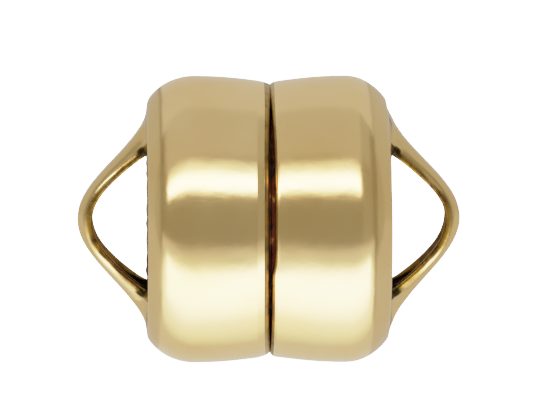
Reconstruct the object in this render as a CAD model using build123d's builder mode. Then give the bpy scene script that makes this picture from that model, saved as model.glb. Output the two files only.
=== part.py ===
from build123d import *
from math import hypot, sqrt
import os

# Round magnetic clasp, closed. X is the common axis of the two halves, the seam is at
# X = 0, and the two loops stand in the XZ plane. Each half is a drawn sheet cup with a
# loop raised out of its end wall, and a disc magnet in its mouth. Sizes are millimetres.

# Cup
outer_diameter = 8.0  # at the crest, where each half is widest
half_length = 3.37  # seam plane to the flat end face
shoulder_run = 1.27  # crest to end face, along the axis
shoulder_drop = 0.693  # crest to the edge of the end face, in radius
rim_drop = 0.215  # crest to the rim at the seam, in radius
corner_radius = 0.35  # where the shoulder meets the end face
wall = 0.3  # sheet thickness
seam_gap = 0.08  # open between the two rims
rim_outer_rounding = 0.13
rim_inner_rounding = 0.1

# Magnet
magnet_gap = 0.02  # between the two magnet faces when the clasp is closed
magnet_clearance = 0.04  # glue film round the magnet
magnet_back_gap = 0.5  # glue between the magnet and the end wall
magnet_chamfer = 0.12

# Loop
loop_reach = 1.965  # end face to the outside of the loop's apex
eye_reach = 1.51  # end face to the inside of the loop's apex
root_run = 1.577  # each end of the eye to the edge of the end face
strap_width = 1.15  # across the strap at its apex
root_width = 2.4  # across each flared root, at the end wall
slot_margin = 0.025  # the slot in the end wall is wider than the strap by this, each side
slot_corner = 0.3
edge_rounding = 0.12  # along the strap's four edges
rounding_limit = 0.43  # at most this share of the strap's side face

# One row of shares for each section from the apex to a root. Its outer and inner points
# stand out from the end face, or into the wall, and up from the axis. Its two faces bow
# outwards, so the strap is a gutter that opens towards the cup.
# outer_out: share of loop_reach, or of the wall where it is below 0
# outer_up: share of the end face's radius
# inner_out: share of eye_reach, or of the wall where it is below 0
# inner_up: share of half the eye's height
# outer_flare, inner_flare: share of the way from strap_width to root_width
# bow: share of the strap's thickness there
strap_columns = ("outer_out", "outer_up", "inner_out", "inner_up", "outer_flare", "inner_flare", "bow")
strap_shares = (
    (1.000, 0.000, 1.000, 0.000, 0.00, 0.00, 0.33),
    (0.966, 0.127, 0.978, 0.198, 0.00, 0.00, 0.31),
    (0.861, 0.248, 0.913, 0.344, 0.00, 0.02, 0.27),
    (0.684, 0.375, 0.700, 0.560, 0.02, 0.08, 0.26),
    (0.486, 0.511, 0.374, 0.789, 0.10, 0.17, 0.30),
    (0.263, 0.658, 0.111, 0.958, 0.32, 0.42, 0.36),
    (0.124, 0.780, -0.140, 1.024, 0.62, 0.74, 0.36),
    (0.020, 0.918, -0.420, 1.065, 0.85, 0.95, 0.27),
    (-0.180, 0.987, -0.550, 1.080, 0.95, 1.00, 0.21),
)

# Worked out from the sizes above
crest_radius = outer_diameter / 2
crest_place = half_length - shoulder_run
rim_place = seam_gap / 2
end_face_radius = crest_radius - shoulder_drop
eye_half_height = end_face_radius - root_run
slot_width = strap_width + 2 * slot_margin


def arc_radius(run, drop):
    """Radius of the arc that leaves the crest level and has dropped this much after run."""
    return (run**2 + drop**2) / (2 * drop)


flank_radius = arc_radius(crest_place - rim_place, rim_drop)
shoulder_radius = arc_radius(shoulder_run, shoulder_drop)


def cup_height(arc, inset, place):
    """Radius of the cup, taken in by inset, at a distance from the seam plane."""
    return crest_radius - arc + sqrt((arc - inset) ** 2 - (place - crest_place) ** 2)


def cup_outline(inset):
    """Closed outline of half the cup's section, from the axis at the seam, taken in by inset."""
    mouth = (rim_place, cup_height(flank_radius, inset, rim_place))
    flank_place = (crest_place + rim_place) / 2
    crest = (crest_place, crest_radius - inset)
    end_place = half_length - inset
    shoulder_place = (crest_place + end_place) / 2
    end = (end_place, cup_height(shoulder_radius, inset, end_place))
    Line((rim_place, 0), mouth)
    ThreePointArc(mouth, (flank_place, cup_height(flank_radius, inset, flank_place)), crest)
    ThreePointArc(crest, (shoulder_place, cup_height(shoulder_radius, inset, shoulder_place)), end)
    Line(end, (end_place, 0))
    Line((end_place, 0), (rim_place, 0))


def stand_out(share, reach):
    """Place along the axis of a point that stands out by a share of reach, or into the wall."""
    return half_length + share * (reach if share > 0 else wall)


def strap_section(row, side):
    """Plane and sizes of a section of the loop; side is 1 above the axis and -1 below it."""
    at = dict(zip(strap_columns, row))
    outer_x = stand_out(at["outer_out"], loop_reach)
    outer_z = side * at["outer_up"] * end_face_radius
    inner_x = stand_out(at["inner_out"], eye_reach)
    inner_z = side * at["inner_up"] * eye_half_height
    middle = ((outer_x + inner_x) / 2, 0, (outer_z + inner_z) / 2)
    normal = (outer_z - inner_z, 0, inner_x - outer_x)
    thickness = hypot(outer_x - inner_x, outer_z - inner_z)
    outer_width = strap_width + at["outer_flare"] * (root_width - strap_width)
    inner_width = strap_width + at["inner_flare"] * (root_width - strap_width)
    plane = Plane(origin=middle, x_dir=(0, 1, 0), z_dir=normal)
    return plane, thickness / 2, outer_width / 2, inner_width / 2, at["bow"] * thickness


# The magnet fits the narrower of the mouth and the cup at the magnet's back
magnet_face = magnet_gap / 2
magnet_back = half_length - wall - magnet_back_gap
mouth_radius = cup_height(flank_radius, wall, rim_place)
back_radius = cup_height(shoulder_radius if magnet_back > crest_place else flank_radius, wall, magnet_back)
magnet_radius = min(mouth_radius, back_radius) - magnet_clearance

strap_sections = [strap_section(row, 1) for row in reversed(strap_shares)]
strap_sections += [strap_section(row, -1) for row in strap_shares[1:]]

with BuildPart() as shell_right:
    with BuildSketch(Plane.XZ) as cup_section:
        with BuildLine():
            cup_outline(0)
        make_face()
        end_corner = cup_section.vertices().group_by(Axis.X)[-1].sort_by(Axis.Y)[-1]
        fillet(end_corner, corner_radius)
        with BuildLine():
            cup_outline(wall)
        make_face(mode=Mode.SUBTRACT)
        outer_rim = cup_section.vertices().group_by(Axis.X)[0].sort_by(Axis.Y)[-1]
        fillet(outer_rim, rim_outer_rounding)
        inner_rim = cup_section.vertices().group_by(Axis.X)[0].sort_by(Axis.Y)[0]
        fillet(inner_rim, rim_inner_rounding)
    revolve(axis=Axis.X)
    with BuildSketch(Plane.YZ.offset(half_length - wall)):
        RectangleRounded(slot_width, 2 * eye_half_height, slot_corner)
    extrude(amount=wall, mode=Mode.SUBTRACT)
    for plane, outer_mid, outer_side, inner_side, bow in strap_sections:
        with BuildSketch(plane) as strap_face:
            with BuildLine():
                outer_edge = outer_mid - bow
                ThreePointArc((-inner_side, -outer_mid), (0, bow - outer_mid), (inner_side, -outer_mid))
                Line((inner_side, -outer_mid), (outer_side, outer_edge))
                ThreePointArc((outer_side, outer_edge), (0, outer_mid), (-outer_side, outer_edge))
                Line((-outer_side, outer_edge), (-inner_side, -outer_mid))
            make_face()
            fillet(strap_face.vertices(), min(edge_rounding, rounding_limit * (2 * outer_mid - bow)))
    loft()

with BuildPart() as magnet_right:
    with BuildSketch(Plane.YZ.offset(magnet_face)):
        Circle(magnet_radius)
    extrude(amount=magnet_back - magnet_face)
    chamfer(magnet_right.edges().filter_by(GeomType.CIRCLE), magnet_chamfer)

with BuildPart() as shell_left:
    mirror(shell_right.part, about=Plane.YZ)

with BuildPart() as magnet_left:
    mirror(magnet_right.part, about=Plane.YZ)

shell_right.part.label = "shell_right"
magnet_right.part.label = "magnet_right"
shell_left.part.label = "shell_left"
magnet_left.part.label = "magnet_left"

os.makedirs("parts", exist_ok=True)
export_step(shell_right.part, "parts/shell_right.step")
export_step(magnet_right.part, "parts/magnet_right.step")
export_step(shell_left.part, "parts/shell_left.step")
export_step(magnet_left.part, "parts/magnet_left.step")
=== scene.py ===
from math import asin, cos, degrees, exp, hypot, pi, radians, sin, sqrt, tan

import bmesh
import bpy
from mathutils import Matrix, Vector, noise


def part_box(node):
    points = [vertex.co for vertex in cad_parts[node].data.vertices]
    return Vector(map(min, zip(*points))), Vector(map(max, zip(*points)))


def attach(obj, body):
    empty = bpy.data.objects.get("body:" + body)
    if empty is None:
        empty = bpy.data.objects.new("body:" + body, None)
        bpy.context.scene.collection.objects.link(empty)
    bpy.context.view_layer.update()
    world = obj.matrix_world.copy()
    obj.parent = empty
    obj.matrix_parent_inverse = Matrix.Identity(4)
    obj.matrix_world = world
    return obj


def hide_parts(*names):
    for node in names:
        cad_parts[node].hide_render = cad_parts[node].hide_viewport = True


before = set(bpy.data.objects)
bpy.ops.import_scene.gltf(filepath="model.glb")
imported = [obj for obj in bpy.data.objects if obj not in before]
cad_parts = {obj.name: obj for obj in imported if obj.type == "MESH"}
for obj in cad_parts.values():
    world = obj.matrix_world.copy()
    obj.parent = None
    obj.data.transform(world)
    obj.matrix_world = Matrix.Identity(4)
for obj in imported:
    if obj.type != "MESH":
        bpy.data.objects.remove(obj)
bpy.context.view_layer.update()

mm = 0.001  # every size below is in millimetres, and the scene is in metres
touching = 0.001  # nearer than this, two places along the axis are taken as one


def newMaterial(name):
    material = bpy.data.materials.new(name)
    material.use_nodes = True
    tree = material.node_tree
    return material, tree.nodes, tree.links, tree.nodes["Principled BSDF"]


def feed(links, value, socket):
    if isinstance(value, bpy.types.NodeSocket):
        links.new(value, socket)
    else:
        socket.default_value = value


def objectPoint(nodes, links, scale=(1, 1, 1), turn=(0, 0, 0)):
    place = nodes.new("ShaderNodeTexCoord")
    mapping = nodes.new("ShaderNodeMapping")
    mapping.inputs["Scale"].default_value = scale
    mapping.inputs["Rotation"].default_value = turn
    links.new(place.outputs["Object"], mapping.inputs["Vector"])
    return mapping.outputs["Vector"]


def noiseField(nodes, links, point, featureSize, detail=2.0, roughness=0.5):
    field = nodes.new("ShaderNodeTexNoise")
    field.inputs["Scale"].default_value = 1 / (featureSize * mm)
    field.inputs["Detail"].default_value = detail
    field.inputs["Roughness"].default_value = roughness
    links.new(point, field.inputs["Vector"])
    return field.outputs["Fac"]


def mapped(nodes, links, value, fromLow, fromHigh, toLow=0, toHigh=1, eased=False):
    rangeNode = nodes.new("ShaderNodeMapRange")
    rangeNode.interpolation_type = "SMOOTHSTEP" if eased else "LINEAR"
    rangeNode.inputs["From Min"].default_value = fromLow
    rangeNode.inputs["From Max"].default_value = fromHigh
    rangeNode.inputs["To Min"].default_value = toLow
    rangeNode.inputs["To Max"].default_value = toHigh
    links.new(value, rangeNode.inputs["Value"])
    return rangeNode.outputs["Result"]


def mathNode(nodes, links, operation, *values):
    node = nodes.new("ShaderNodeMath")
    node.operation = operation
    for value, socket in zip(values, node.inputs):
        feed(links, value, socket)
    return node.outputs[0]


def mixed(nodes, links, share, first, second, kind="RGBA"):
    mix = nodes.new("ShaderNodeMix")
    mix.data_type = kind
    for name, value in (("Factor", share), ("A", first), ("B", second)):
        feed(links, (*value, 1) if isinstance(value, tuple) else value, mix.inputs[name])
    return mix.outputs["Result"]


def bumped(nodes, links, height, distance, under=None):
    bump = nodes.new("ShaderNodeBump")
    bump.inputs["Distance"].default_value = distance * mm
    links.new(height, bump.inputs["Height"])
    if under is not None:
        links.new(under, bump.inputs["Normal"])
    return bump.outputs["Normal"]


# polished gold-filled sheet, tumbled, so dents and hairlines are shallow. A band says between
# which values of a noise its effect sets in
gold = {
    "pale": (0.985, 0.765, 0.400), "deep": (0.955, 0.700, 0.320), "toneSize": 2.6, "toneBand": (0.35, 0.7),
    "smooth": 0.13, "dull": 0.21, "dullSize": 0.9, "dullBand": (0.3, 0.75),
    "brass": (0.47, 0.285, 0.05), "brassRoughness": 0.26,
    "tarnish": (0.15, 0.072, 0.018), "tarnishSize": 0.45, "tarnishBand": (0.45, 0.62),
    # near-black painted shade, used in the slits, round their ends and under the strap
    "paintedShade": (0.045, 0.032, 0.009),
    "waveSize": 1.7, "waveDepth": 0.010,
    "dentSize": 0.55, "dentDepth": 0.005,
    "grainSize": 0.05, "grainDepth": 0.00025,
    "hairSize": 0.035, "hairDepth": 0.0002, "hairBand": (0.62, 0.7), "hairStretch": 0.06,
    "hairTurn": (0.3, 0.2, 0.5),
    "fleckSize": 0.13, "fleckDepth": 0.0035,
}


def goldColour(nodes, links, point, brassAndPaintedShade, paintedShadeShare):
    spread = noiseField(nodes, links, point, gold["toneSize"], detail=3)
    deeper = mapped(nodes, links, spread, *gold["toneBand"])
    sheet = mixed(nodes, links, deeper, gold["pale"], gold["deep"])
    stain = noiseField(nodes, links, point, gold["tarnishSize"], detail=3, roughness=0.6)
    stained = mapped(nodes, links, stain, *gold["tarnishBand"])
    brass = mixed(nodes, links, stained, gold["brass"], gold["tarnish"])
    # brass for bare brass, and for brown painted shade along the foot of the ridge
    worn = mixed(nodes, links, brassAndPaintedShade, sheet, brass)
    # painted shade: near black laid over the gold and brass
    return mixed(nodes, links, paintedShadeShare, worn, gold["paintedShade"])


def goldSurface(nodes, links, point, brassAndPaintedShade):
    wave = noiseField(nodes, links, point, gold["waveSize"], detail=1)
    normal = bumped(nodes, links, wave, gold["waveDepth"])
    dent = noiseField(nodes, links, point, gold["dentSize"], detail=2)
    normal = bumped(nodes, links, dent, gold["dentDepth"], normal)
    grain = noiseField(nodes, links, point, gold["grainSize"], detail=3, roughness=0.6)
    normal = bumped(nodes, links, grain, gold["grainDepth"], normal)
    along = objectPoint(nodes, links, scale=(gold["hairStretch"], 1, 1), turn=gold["hairTurn"])
    hair = noiseField(nodes, links, along, gold["hairSize"], detail=1)
    hairline = mapped(nodes, links, hair, *gold["hairBand"])
    normal = bumped(nodes, links, hairline, -gold["hairDepth"], normal)
    fleck = noiseField(nodes, links, point, gold["fleckSize"], detail=2, roughness=0.6)
    fleck = mathNode(nodes, links, "MULTIPLY", fleck, brassAndPaintedShade)
    return bumped(nodes, links, fleck, gold["fleckDepth"], normal)


def goldMaterial():
    material, nodes, links, shader = newMaterial("goldFilledSheet")
    point = objectPoint(nodes, links)
    # the attribute: up to 1 bare brass, from 1 to 2 near-black painted shade
    brassAndShade = nodes.new("ShaderNodeAttribute")
    brassAndShade.attribute_name = "brassAndShade"
    brassAndPaintedShade = mapped(nodes, links, brassAndShade.outputs["Fac"], 0, 1)
    paintedShadeShare = mapped(nodes, links, brassAndShade.outputs["Fac"], 1, 2)
    links.new(goldColour(nodes, links, point, brassAndPaintedShade, paintedShadeShare), shader.inputs["Base Color"])
    shader.inputs["Metallic"].default_value = 1.0
    haze = noiseField(nodes, links, point, gold["dullSize"], detail=4, roughness=0.6)
    hazy = mapped(nodes, links, haze, *gold["dullBand"], gold["smooth"], gold["dull"])
    rough = mixed(nodes, links, brassAndPaintedShade, hazy, gold["brassRoughness"], kind="FLOAT")
    links.new(rough, shader.inputs["Roughness"])
    links.new(goldSurface(nodes, links, point, brassAndPaintedShade), shader.inputs["Normal"])
    return material


# nickel plate on a sintered disc, with a ring of patchy glue round its edge, yellow here and there, and
# dark red as painted reflection of the gold between the rims. Where there is less glue than the share
# glueMetal, the metal still shines
disc = {
    "nickel": (0.46, 0.45, 0.43), "nickelRoughness": 0.28, "pitSize": 0.12, "pitDepth": 0.004,
    "glue": (0.115, 0.016, 0.003), "glueDark": (0.014, 0.006, 0.003), "glueWorn": (0.42, 0.25, 0.045),
    "glueSize": 0.45, "darkBand": (0.44, 0.56), "wornBand": (0.37, 0.32),
    "glueFrom": 3.20, "glueTo": 3.34, "glueWander": 0.10, "wanderSize": 0.7,
    "glueRoughness": 0.55, "glueMetal": 0.7,
}


def glueShare(nodes, links, point):
    offAxis = nodes.new("ShaderNodeVectorMath")
    offAxis.operation = "LENGTH"
    links.new(objectPoint(nodes, links, scale=(0, 1, 1)), offAxis.inputs[0])
    wander = noiseField(nodes, links, point, disc["wanderSize"], detail=3)
    wander = mapped(nodes, links, wander, 0, 1, -disc["glueWander"] * mm, disc["glueWander"] * mm)
    radius = mathNode(nodes, links, "ADD", offAxis.outputs["Value"], wander)
    return mapped(nodes, links, radius, disc["glueFrom"] * mm, disc["glueTo"] * mm, eased=True)


def magnetMaterial():
    material, nodes, links, shader = newMaterial("nickelMagnet")
    point = objectPoint(nodes, links)
    glued = glueShare(nodes, links, point)
    patch = noiseField(nodes, links, point, disc["glueSize"], detail=3)
    dark = mapped(nodes, links, patch, *disc["darkBand"])
    worn = mapped(nodes, links, patch, *disc["wornBand"])
    # the glue's dark red is painted reflection of the gold in the seam
    glue = mixed(nodes, links, dark, disc["glue"], disc["glueDark"])
    glue = mixed(nodes, links, worn, glue, disc["glueWorn"])
    links.new(mixed(nodes, links, glued, disc["nickel"], glue), shader.inputs["Base Color"])
    links.new(mapped(nodes, links, glued, disc["glueMetal"], 1, 1, 0), shader.inputs["Metallic"])
    rough = mapped(nodes, links, glued, 0, 1, disc["nickelRoughness"], disc["glueRoughness"])
    links.new(rough, shader.inputs["Roughness"])
    pit = noiseField(nodes, links, point, disc["pitSize"], detail=4, roughness=0.65)
    links.new(bumped(nodes, links, pit, disc["pitDepth"]), shader.inputs["Normal"])
    return material


goldFilled = goldMaterial()
nickelMagnet = magnetMaterial()
print("materials made")

# sheet cup, measured from the seam plane outwards. It drops by rimDrop from its crest to rimPlace.
# A place less than faceDepth below the end face counts as part of that face
cup = {
    "crestRadius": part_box("shell_right")[1].z / mm,
    "halfLength": 3.37, "shoulderRun": 1.27, "shoulderDrop": 0.693, "rimPlace": 0.04, "rimDrop": 0.190,
    "cornerRadius": 0.35, "wall": 0.3, "rimRound": 0.12, "rimWear": 0.95, "bend": 0.05,
    "spokes": 360, "flankSteps": 12, "bendSteps": 3, "roundSteps": 6, "shoulderSteps": 18,
    "cornerSteps": 6, "wallRings": 7, "weld": 0.0005, "faceDepth": 0.05, "sharpAngle": 50,
}

# loop, raised from the end wall like a tent over two slits. slitTop and slitFoot are how far they
# reach, in cells of the end wall's grid
loop = {
    "standOut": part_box("shell_right")[1].x / mm - cup["halfLength"],
    "halfWidth": 0.6, "neck": 0.06, "apexBow": 0.165, "apexShare": 0.5, "armBow": 0.12,
    "edgeRound": 0.20, "roundFade": 0.28, "innerShare": 0.42, "innerDepth": 0.1,
    "slitTop": 54, "slitFoot": 52, "slitNear": 0.02, "flare": 0.42, "curl": 0.12,
    "ridgeTop": 0.16, "ridgeFoot": 0.64, "ridgeSpread": 0.9,
    "patchHalfWidth": 1.2, "patchHalfHeight": 2.79, "patchApart": 1, "cellsAcross": 48,
    "burr": 0.058, "burrWidth": 0.08, "burrLevel": 0.8, "burrWander": 0.5, "burrRepeat": 6,
    "ragged": 0.012, "raggedRepeat": 9, "raggedOut": 0.3, "raggedSeed": 1,
}

# wear and painted shade of the loop, as values of the attribute that the gold's shader reads: 0 is
# polished gold, 1 bare brass and 2 near-black painted shade. A band runs from where its effect sets in
# to where it is whole. The strap's edges are bare from a share of their rounding on, later along the arms
wearAndShade = {
    "bareFrom": 0.55, "bareTo": 1.01, "armSpared": 0.4, "armBand": (0.5, 1.3), "rootBand": (1.2, 1.8),
    "inner": 1.35, "innerBand": (0.5, 0.1), "slitShadeBand": (0.14, 0.05),
    "endShadeBand": (0.088, 0.05), "endShadeBack": 0.17, "endShadeStretch": 1.3,
    "foot": 0.7, "footRise": (0.004, 0.02), "footTop": (0.11, 0.03), "footAside": (0.4, 0.8),
}

# the two halves aren't quite alike. Length is a share of the drawn one. A facet of the turned-in rim
# is where it starts, its slope in degrees and how far it is coloured brown brass, and rim is where the
# sheet ends. The rim closes towards the other half but stays open at the front, near the foot less so
# by footShut, and evened is how much of its turning in is lost. Apex and further are how far the loop's
# apex stands up and out, footPower shapes the lower arm, and root is where an arm runs out into the
# wall. Sag is how far the end's corner lies back
halves = {
    "left": {
        "length": 1.006, "facets": ((0.39, 19.5, 0), (0.20, 36, 1)), "rim": 0.053,
        "closesTop": 0.033, "closesFoot": 0.048, "footShut": 0, "wearTop": 0.85, "wearFoot": 0.5,
        "evenedTop": 0.75, "evenedFoot": 0.28, "apex": 0.03, "further": 0.0, "footPower": 2.0,
        "rootTop": 3.31, "rootFoot": 3.35, "sagTop": -0.03, "sagFoot": -0.033,
    },
    "right": {
        "length": 0.988, "facets": ((0.25, 20, 0), (0.19, 45, 1)), "rim": 0.10,
        "closesTop": 0.056, "closesFoot": 0.094, "footShut": 0.85, "wearTop": 0.6, "wearFoot": 0.9,
        "evenedTop": 0.75, "evenedFoot": 0.28, "apex": 0.07, "further": 0.03, "footPower": 2.15,
        "rootTop": 3.27, "rootFoot": 3.46, "sagTop": 0.075, "sagFoot": 0.035,
    },
}

# where on a half that hand work shows, as bands. Heights and the front are shares of the crest's
# radius
handWork = {
    "footBand": (-0.08, -0.28), "frontBand": (0.25, 0.95), "closesBand": (-0.3, 0.9),
    "seamBand": (0.9, 0.1), "sagRadius": (2.75, 3.25), "sagShort": 0.2, "axisRadius": 0.1,
}

# values kept on each point: its wear, how far a rounding takes it in, and the place and direction of
# the outer face before it gets its wall
pointValues = {"brassAndShade": "float", "drop": "float", "place": "float_vector", "outward": "float_vector"}


def pointLayers(bm):
    for name, kind in pointValues.items():
        getattr(bm.verts.layers, kind).new(name)
    # looked up only now, because each new layer moves the others
    return {name: getattr(bm.verts.layers, kind)[name] for name, kind in pointValues.items()}


def extended(bm, vert):
    return bmesh.ops.extrude_vert_indiv(bm, verts=[vert])["verts"][0]


def arcOn(bm, vert, centre, angle, steps):
    made = bmesh.ops.spin(bm, geom=[vert], cent=centre, axis=(0, 1, 0), angle=angle, steps=steps)
    return next(item for item in made["geom_last"] if isinstance(item, bmesh.types.BMVert))


def spinRound(bm, axis, steps, weld):
    geom = bm.verts[:] + bm.edges[:]
    bmesh.ops.spin(bm, geom=geom, cent=(0, 0, 0), axis=axis, angle=2 * pi, steps=steps, use_merge=True)
    bmesh.ops.remove_doubles(bm, verts=bm.verts[:], dist=weld)


def newObject(name, data):
    made = bpy.data.objects.new(name, data)
    bpy.context.scene.collection.objects.link(made)
    return made


def meshObject(bm, name):
    bmesh.ops.scale(bm, vec=(mm, mm, mm), verts=bm.verts[:])
    mesh = bpy.data.meshes.new(name)
    bm.to_mesh(mesh)
    bm.free()
    return newObject(name, mesh)


def arcRadius(run, drop):
    return (run * run + drop * drop) / (2 * drop)


def flankArc():
    crest = cup["halfLength"] - cup["shoulderRun"]
    return crest, arcRadius(crest - cup["rimPlace"], cup["rimDrop"])


# 0 at low, 1 at high and eased at both. High may be the lower of the two
def smooth(value, low, high):
    share = min(1.0, max(0.0, (value - low) / (high - low)))
    return share**3 * (share * (6 * share - 15) + 10)


def bell(distance, width):
    return exp(-((distance / width) ** 2))


def straightTo(bm, last, place, tilt):
    run = last.co.x - place
    if run > touching:
        last = extended(bm, last)
        last.co += run * Vector((-1, 0, -tan(tilt)))
    return last


def turnedRim(bm, layers, half, last, tilt):
    for place, slope, worn in half["facets"]:
        last = straightTo(bm, last, place, tilt)
        middle = last.co - cup["bend"] * Vector((-sin(tilt), 0, cos(tilt)))
        last = arcOn(bm, last, middle, tilt - radians(slope), cup["bendSteps"])
        # each facet is coloured brown brass by its own share
        last[layers["brassAndShade"]] = worn
        tilt = radians(slope)
    last = straightTo(bm, last, half["rim"] + cup["rimRound"] * (1 - sin(tilt)), tilt)
    last[layers["brassAndShade"]] = cup["rimWear"]
    onwards = cup["rimRound"] * Vector((-cos(tilt), 0, -sin(tilt)))
    start = last.co.copy()
    for step in range(1, cup["roundSteps"] + 1):
        last = extended(bm, last)
        share = sin(pi / 2 * step / cup["roundSteps"])
        last[layers["drop"]] = cup["rimRound"] * (1 - sqrt(1 - share * share))
        last[layers["brassAndShade"]] = 1.0
        last.co = start + share * onwards


def spinCup(bm, layers, half):
    crest, flank = flankArc()
    shoulder = arcRadius(cup["shoulderRun"], cup["shoulderDrop"])
    top = bm.verts.new((crest, 0, cup["crestRadius"]))
    middle = Vector((crest, 0, cup["crestRadius"] - shoulder))
    corner = Vector((cup["halfLength"] - cup["cornerRadius"], 0, 0))
    apart = shoulder - cup["cornerRadius"]
    corner.z = middle.z + sqrt(apart**2 - (corner.x - middle.x) ** 2)
    turn = asin((corner.x - middle.x) / apart)
    last = arcOn(bm, top, middle, turn, cup["shoulderSteps"])
    arcOn(bm, last, corner, pi / 2 - turn, cup["cornerSteps"])
    tilt = asin((crest - half["facets"][0][0]) / flank)
    middle = Vector((crest, 0, cup["crestRadius"] - flank))
    last = arcOn(bm, top, middle, -tilt, cup["flankSteps"])
    turnedRim(bm, layers, half, last, tilt)
    spinRound(bm, (1, 0, 0), cup["spokes"], cup["weld"])


def farEdge(bm):
    far = max(vert.co.x for vert in bm.verts) - touching
    return [line for line in bm.edges if line.is_boundary and min(vert.co.x for vert in line.verts) > far]


def wallPatch(bm, cellsAlong):
    across = loop["cellsAcross"]
    patch = bmesh.ops.create_grid(bm, x_segments=across, y_segments=cellsAlong, size=1)["verts"]
    bmesh.ops.scale(bm, vec=(loop["patchHalfWidth"], loop["patchHalfHeight"], 1), verts=patch)
    bmesh.ops.rotate(bm, cent=(0, 0, 0), matrix=Matrix.Rotation(pi / 2, 3, "Z"), verts=patch)
    bmesh.ops.rotate(bm, cent=(0, 0, 0), matrix=Matrix.Rotation(pi / 2, 3, "Y"), verts=patch)
    # the columns crowd towards the strap's edges, where it is rounded
    flat = loop["halfWidth"] - loop["edgeRound"]
    for vert in patch:
        place = abs(vert.co.y) * across / (2 * loop["patchHalfWidth"])
        column = round(place) / cup["roundSteps"]
        side = 1 if vert.co.y > 0 else -1
        if column <= 1:
            vert.co.y = side * flat * column
        elif column <= 2:
            vert.co.y = side * (flat + loop["edgeRound"] * sin(pi / 2 * (column - 1)))
    return patch


def endWall(bm):
    circle = farEdge(bm)
    cellsAlong = cup["spokes"] // 2 - loop["cellsAcross"]
    patch = wallPatch(bm, cellsAlong)
    # apart from the circle, so that they bridge straight, and pressed flat after
    bmesh.ops.translate(bm, vec=(cup["halfLength"] + loop["patchApart"], 0, 0), verts=patch)
    ring = bmesh.ops.bridge_loops(bm, edges=circle + farEdge(bm))
    bmesh.ops.subdivide_edges(bm, edges=ring["edges"], cuts=cup["wallRings"], use_grid_fill=True)
    for vert in bm.verts:
        vert.co.x = min(vert.co.x, cup["halfLength"])
    return 2 * loop["patchHalfHeight"] / cellsAlong


def onEndFace(place):
    return place.x > cup["halfLength"] - cup["faceDepth"]


def slitEnd(z, cell):
    return cell * loop["slitTop" if z > 0 else "slitFoot"]


def lift(z, half):
    offApex = z - half["apex"]
    upper = offApex > 0
    run = half["rootTop"] - half["apex"] if upper else half["rootFoot"] + half["apex"]
    high = loop["standOut"] + half["further"]
    return high * cos(pi / 2 * min(1.0, abs(offApex) / run)) ** (2 if upper else half["footPower"])


def ridge(y, spread=0):
    return 1 - smooth(abs(y), loop["ridgeTop"], loop["ridgeFoot"] + spread)


# the slits run apart towards their ends, and the wall beside them makes room
def flared(y, z, slit):
    beyond = smooth(abs(z), slit, loop["patchHalfHeight"])
    spread = loop["flare"] * min(1.0, abs(z) / slit) ** 3 * (1 - beyond)
    edge, border = loop["halfWidth"], loop["patchHalfWidth"]
    if abs(y) <= edge:
        return y * (1 + spread)
    narrowed = (border - edge * (1 + spread)) / (border - edge)
    return (border - (border - abs(y)) * narrowed) * (1 if y > 0 else -1)


def cutSlits(bm, cell):
    near = loop["slitNear"] * cell

    def onSlit(line):
        ends = [vert.co for vert in line.verts]
        onEdge = all(onEndFace(end) and abs(abs(end.y) - loop["halfWidth"]) < near for end in ends)
        return onEdge and all(abs(end.z) < slitEnd(end.z, cell) + near for end in ends)

    bmesh.ops.split_edges(bm, edges=[line for line in bm.edges if onSlit(line)])
    strap = set()
    for face in bm.faces:
        middle = face.calc_center_median()
        between = abs(middle.y) < loop["halfWidth"] and abs(middle.z) < slitEnd(middle.z, cell)
        if onEndFace(middle) and between:
            strap.update(face.verts)
    return strap


def strapPoint(y, z, half, slit):
    edgeFall = 1 - ridge(loop["halfWidth"])
    endBow = lift(slit if z > 0 else -slit, half) * edgeFall
    bow = loop["armBow"] + (endBow - loop["armBow"]) * (z / slit) ** 4
    bow += (loop["apexBow"] - loop["armBow"]) * (1 - smooth(abs(z), 0, loop["apexShare"] * slit))
    raised = lift(z, half) - bow * (1 - ridge(y)) / edgeFall
    share = min(1.0, max(0.0, (abs(y) - loop["halfWidth"]) / loop["edgeRound"] + 1))
    fade = min(1.0, max(0.0, slit - abs(z)) / loop["roundFade"])
    drop = fade * loop["edgeRound"] * (1 - sqrt(1 - share * share))
    spared = smooth(abs(z), *wearAndShade["armBand"]) - smooth(abs(z), *wearAndShade["rootBand"])
    worn = smooth(share, wearAndShade["bareFrom"] + wearAndShade["armSpared"] * spared, wearAndShade["bareTo"])
    return raised, drop, worn


def slitPoint(x, y, z, half, slit):
    fromEdge = abs(y) - loop["halfWidth"]
    curl = bell(slit - abs(z), loop["curl"])
    raised = lift(slit if z > 0 else -slit, half) * ridge(y) * curl
    burr = loop["burr"] * (1 - curl) * bell(fromEdge, loop["burrWidth"])
    wander = noise.noise(Vector((x, y, loop["burrRepeat"] * z)))
    raised += burr * (loop["burrLevel"] + loop["burrWander"] * wander)
    # near black along the slit's edges: painted shade in the slit
    return raised, 0, 2 * smooth(fromEdge, *wearAndShade["slitShadeBand"])


def wallPoint(y, z, half, slit):
    spread = loop["ridgeSpread"] * smooth(abs(z), slit, half["rootTop" if z > 0 else "rootFoot"])
    return lift(z, half) * ridge(y, spread), 0, 0


# painted shade: near black round the slits' ends, and brown along the foot of the ridge
def paintedShadeMarks(y, z, slit, raised, onStrap):
    along = (abs(z) - slit + wearAndShade["endShadeBack"]) / wearAndShade["endShadeStretch"]
    paintedShade = 2 * smooth(hypot(along, abs(y) - loop["halfWidth"]), *wearAndShade["endShadeBand"])
    if onStrap:
        return paintedShade
    # the foot's brown is painted shade where the ridge meets the wall
    footShade = smooth(raised, *wearAndShade["footRise"]) * smooth(raised, *wearAndShade["footTop"])
    return max(paintedShade, wearAndShade["foot"] * footShade * smooth(abs(y), *wearAndShade["footAside"]))


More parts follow.
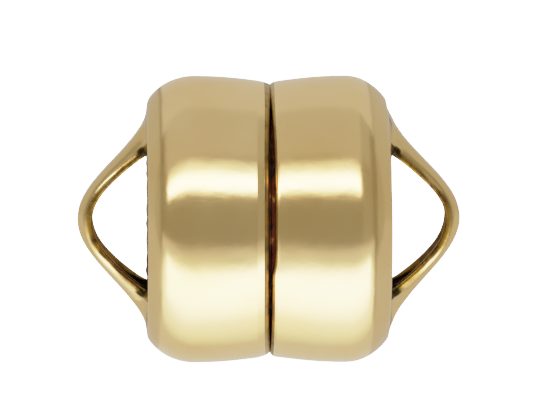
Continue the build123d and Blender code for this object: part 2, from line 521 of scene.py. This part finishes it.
def raiseLoop(bm, layers, half, cell):
    strap = cutSlits(bm, cell)
    for vert in bm.verts:
        x, y, z = vert.co
        slit = slitEnd(z, cell)
        if x < cup["halfLength"] - 2 * cup["cornerRadius"]:
            continue
        if vert in strap:
            raised, drop, worn = strapPoint(y, z, half, slit)
        elif abs(z) < slit:
            raised, drop, worn = slitPoint(x, y, z, half, slit)
        else:
            raised, drop, worn = wallPoint(y, z, half, slit)
        # painted shade on the end face, laid over the wear
        if onEndFace(vert.co):
            worn = max(worn, paintedShadeMarks(y, z, slit, raised, vert in strap))
        vert[layers["drop"]] = drop
        vert[layers["brassAndShade"]] = worn
        vert.co.x += raised
        if abs(y) < loop["patchHalfWidth"] and abs(z) < loop["patchHalfHeight"]:
            vert.co.y = flared(y, z, slit) * (1 - loop["neck"] * raised / loop["standOut"])
    noise.seed_set(loop["raggedSeed"])  # or else noise_vector follows the clock
    for vert in bm.verts:
        if vert.is_boundary and vert not in strap and onEndFace(vert.co):
            wander = noise.noise_vector(vert.co * loop["raggedRepeat"])
            wander.x *= loop["raggedOut"]
            vert.co += loop["ragged"] * wander


def settle(bm, layers, half):
    crest, flank = flankArc()
    for vert in bm.verts:
        x, y, z = vert.co
        radius = hypot(y, z)
        upright = z / radius if radius > handWork["axisRadius"] else 0.0
        height = z / cup["crestRadius"]
        foot = smooth(height, *handWork["footBand"])
        if x < half["facets"][0][0] + cup["bend"]:
            vert[layers["brassAndShade"]] *= half["wearTop"] + (half["wearFoot"] - half["wearTop"]) * foot
            # the rim is turned in less at its top and foot
            evened = half["evenedTop" if z > 0 else "evenedFoot"] * upright**8
            level = cup["crestRadius"] - flank + sqrt(flank**2 - (crest - x) ** 2)
            vert.co.yz *= 1 + evened * (level - radius) / radius
            vert[layers["drop"]] *= 1 - evened
        atCorner = smooth(x, crest, cup["halfLength"] - handWork["sagShort"])
        atCorner *= smooth(radius, *handWork["sagRadius"])
        sag = half["sagTop" if z > 0 else "sagFoot"] * upright**2 * atCorner
        openFront = smooth(-y / cup["crestRadius"], *handWork["frontBand"]) * (1 - half["footShut"] * foot)
        rise = smooth(height, *handWork["closesBand"])
        closes = half["closesFoot"] + (half["closesTop"] - half["closesFoot"]) * rise
        shut = closes * (1 - openFront) * smooth(x, *handWork["seamBand"])
        vert.co.x = half["length"] * (x - sag) - shut


def thicken(bm, layers):
    bm.normal_update()
    for vert in bm.verts:
        vert[layers["place"]] = vert.co
        vert[layers["outward"]] = vert.normal
    outer = set(bm.verts)
    bmesh.ops.solidify(bm, geom=bm.faces[:], thickness=cup["wall"])
    # each point is put at its own depth, which rounds the edges of both faces
    for vert in bm.verts:
        down = vert[layers["drop"]]
        if vert not in outer:
            # the strap's inner face is bare brass, darkened towards near black as painted shade under the
            # strap
            if vert[layers["place"]].x > cup["halfLength"] - loop["innerDepth"]:
                dark = 1 + (wearAndShade["inner"] - 1) * smooth(down / loop["edgeRound"], *wearAndShade["innerBand"])
                vert[layers["brassAndShade"]] = max(dark, vert[layers["brassAndShade"]])
                down *= loop["innerShare"]
            down = cup["wall"] - down
        vert.co = vert[layers["place"]] - down * vert[layers["outward"]]
    bm.normal_update()
    for face in bm.faces:
        face.smooth = True
    for line in bm.edges:
        line.smooth = line.calc_face_angle(0) < radians(cup["sharpAngle"])


def goldShell(side):
    half = halves[side]
    bm = bmesh.new()
    layers = pointLayers(bm)
    spinCup(bm, layers, half)
    cell = endWall(bm)
    raiseLoop(bm, layers, half, cell)
    settle(bm, layers, half)
    bmesh.ops.recalc_face_normals(bm, faces=bm.faces[:])
    crownFace = max(bm.faces, key=lambda face: face.calc_center_median().z)
    if crownFace.normal.z < 0:
        bmesh.ops.reverse_faces(bm, faces=bm.faces[:])
    thicken(bm, layers)
    if side == "left":
        bmesh.ops.scale(bm, vec=(-1, 1, 1), verts=bm.verts[:])
        bmesh.ops.reverse_faces(bm, faces=bm.faces[:])
    shell = meshObject(bm, "goldShell_" + side)
    for name in ("drop", "place", "outward"):
        shell.data.attributes.remove(shell.data.attributes[name])
    shell.data.materials.append(goldFilled)
    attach(shell, side + "_half")
    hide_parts("shell_" + side)
    print("gold shell", side, len(shell.data.polygons), "faces")


def dressMagnet(side):
    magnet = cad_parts["magnet_" + side]
    magnet.data.materials.clear()
    magnet.data.materials.append(nickelMagnet)


for side in ("left", "right"):
    goldShell(side)
    dressMagnet(side)
print("magnets plated and glued")

# the photograph's view: a long lens, a little to the left and above. The frame is as wide as
# frameWidth at the clasp, and its middle is above and right of the origin
view = {
    "azimuth": -0.8, "elevation": 10, "lens": 450, "sensor": 36, "frameWidth": 15.06,
    "above": 0.457, "right": 0.006, "nearest": 1, "farthest": 10000,
}


def photoCamera():
    lens = bpy.data.cameras.new("photoCamera")
    lens.sensor_width = view["sensor"]
    lens.lens = view["lens"]
    lens.clip_start = view["nearest"] * mm
    lens.clip_end = view["farthest"] * mm
    camera = newObject("photoCamera", lens)
    turn, rise = radians(view["azimuth"]), radians(view["elevation"])
    back = Vector((sin(turn) * cos(rise), -cos(turn) * cos(rise), sin(rise)))
    camera.rotation_mode = "QUATERNION"
    camera.rotation_quaternion = (-back).to_track_quat("-Z", "Y")
    across = camera.rotation_quaternion @ Vector((1, 0, 0))
    up = camera.rotation_quaternion @ Vector((0, 1, 0))
    target = (across * view["right"] + up * view["above"]) * mm
    distance = view["frameWidth"] * mm * view["lens"] / view["sensor"]
    camera.location = target + back * distance
    bpy.context.scene.camera = camera


photoCamera()
print("camera set")

# studio: what the gold reflects, as soft panels in an even room, warm where it is dim. Angles are in
# degrees above the camera's own direction, and past 90 behind the clasp. A side is the sine of the
# slope, to the left or right, at which a surface shows it to the camera
studio = {
    "room": 0.315, "roomTint": (1.0, 0.915, 0.71), "tintUpTo": 0.60, "leastSum": 0.001,
    "panels": (  # low, softness, high, softness, left, right, softness, level
        (23, 6, 38, 9, -0.469, 0.275, 0.022, 4.0),  # soft box
        (23, 6, 48, 7, -0.469, 0.275, 0.022, 1.15),
        (46, 12, 190, 1, -0.54, 0.34, 0.07, 0.53),
        (46, 12, 190, 1, -0.54, 0.49, 0.03, 0.46),
        (99, 3, 190, 1, -0.58, 0.57, 0.05, 0.59),  # overhead
        (-95, 38, -40, 13, -0.515, 0.46, 0.04, 2.5),  # white table in front
        (-124, 36, -50, 14, -0.58, 0.515, 0.04, 1.3),
        (-140, 20, -20, 11, -0.59, 0.53, 0.04, 0.68),
        (-190, 1, -100, 30, -0.64, 0.56, 0.04, 0.66),
        (-190, 1, 190, 1, -0.54, 0.50, 0.02, 0.34),  # between them
        (-190, 1, 190, 1, 0.29, 0.50, 0.02, 0.39),
        (-190, 1, 190, 1, 0.565, 2, 0.02, 0.45),  # right side
        (70, 25, 190, 1, 0.555, 2, 0.02, 0.50),
        (-190, 1, -38, 26, 0.54, 2, 0.02, 0.55),
        (-190, 1, 190, 1, -2, -0.60, 0.02, 0.45),  # left side
        (70, 25, 190, 1, -2, -0.59, 0.02, 0.50),
        (-190, 1, -38, 26, -2, -0.58, 0.02, 0.55),
    ),
}


def studioAngles(nodes, links):
    place = nodes.new("ShaderNodeTexCoord")
    level = nodes.new("ShaderNodeMapping")
    level.inputs["Rotation"].default_value = (radians(view["elevation"]), 0, 0)
    links.new(place.outputs["Generated"], level.inputs["Vector"])
    parts = nodes.new("ShaderNodeSeparateXYZ")
    links.new(level.outputs["Vector"], parts.inputs["Vector"])
    front = mathNode(nodes, links, "MULTIPLY", parts.outputs["Y"], -1)
    angle = mathNode(nodes, links, "ARCTAN2", parts.outputs["Z"], front)
    angle = mathNode(nodes, links, "MULTIPLY", angle, degrees(1))
    # a surface that shows a direction faces halfway between it and the camera, so the sine of its
    # slope to the side is X over the length of their sum. leastSum keeps that above zero behind
    squared = mathNode(nodes, links, "MULTIPLY", mathNode(nodes, links, "ADD", front, 1), 2)
    squared = mathNode(nodes, links, "MAXIMUM", squared, studio["leastSum"])
    length = mathNode(nodes, links, "SQRT", squared)
    return angle, mathNode(nodes, links, "DIVIDE", parts.outputs["X"], length)


def litRoom():
    world = bpy.data.worlds.new("studio")
    bpy.context.scene.world = world
    world.use_nodes = True
    nodes, links = world.node_tree.nodes, world.node_tree.links
    angle, side = studioAngles(nodes, links)
    light = studio["room"]
    for low, lowSoft, high, highSoft, left, right, sideSoft, glow in studio["panels"]:
        for value, edge, soft, ends in (
            (angle, low, lowSoft, (0, 1)),
            (angle, high, highSoft, (1, 0)),
            (side, left, sideSoft, (0, 1)),
            (side, right, sideSoft, (1, 0)),
        ):
            share = mapped(nodes, links, value, edge - soft, edge + soft, *ends, eased=True)
            glow = mathNode(nodes, links, "MULTIPLY", share, glow)
        light = mathNode(nodes, links, "MAXIMUM", glow, light)
    bright = mapped(nodes, links, light, studio["room"], studio["tintUpTo"])
    background = nodes["Background"]
    tint = mixed(nodes, links, bright, studio["roomTint"], (1, 1, 1))
    links.new(tint, background.inputs["Color"])
    links.new(light, background.inputs["Strength"])


litRoom()
print("studio lit")

# pale seamless floor that bends up into a wall all round
bowl = {
    "radius": 400, "bend": 60, "height": 500, "spokes": 96, "bendSteps": 24, "weld": 0.01,
    "glow": 3.2, "white": 0.3, "roughness": 0.9,
}


def whiteBowl():
    bm = bmesh.new()
    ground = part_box("shell_right")[0].z / mm
    corner = extended(bm, bm.verts.new((0, 0, ground)))
    corner.co.x = bowl["radius"]
    bendCentre = (bowl["radius"], 0, ground + bowl["bend"])
    top = extended(bm, arcOn(bm, corner, bendCentre, -pi / 2, bowl["bendSteps"]))
    top.co.z += bowl["height"]
    spinRound(bm, (0, 0, 1), bowl["spokes"], bowl["weld"])
    bmesh.ops.recalc_face_normals(bm, faces=bm.faces[:])
    bmesh.ops.reverse_faces(bm, faces=bm.faces[:])
    for face in bm.faces:
        face.smooth = True
    sweep = meshObject(bm, "whiteBowl")
    material, _, _, shader = newMaterial("whitePaper")
    shader.inputs["Base Color"].default_value = (bowl["white"],) * 3 + (1,)
    shader.inputs["Roughness"].default_value = bowl["roughness"]
    shader.inputs["Emission Color"].default_value = (1, 1, 1, 1)
    shader.inputs["Emission Strength"].default_value = bowl["glow"]
    sweep.data.materials.append(material)
    sweep.visible_glossy = False
    sweep.visible_shadow = False


whiteBowl()
print("paper laid")

# the photograph's highlights roll off softly to white, as film or a camera's own curve does
tone = {
    "white": 3.2,
    "points": (
        (0.15, 0.15), (0.30, 0.30), (0.45, 0.45), (0.60, 0.60), (0.75, 0.695),
        (0.90, 0.757), (1.10, 0.82), (1.35, 0.875), (1.75, 0.93), (2.4, 0.965),
    ),
}


def rollOff(viewing):
    viewing.view_transform = "Standard"
    viewing.use_curve_mapping = True
    mapping = viewing.curve_mapping
    mapping.clip_max_x = tone["white"]
    combined = mapping.curves[3]
    combined.points[-1].location = (tone["white"], 1.0)
    for point in tone["points"]:
        combined.points.new(*point)
    mapping.update()


rollOff(bpy.context.scene.view_settings)
print("tones set")
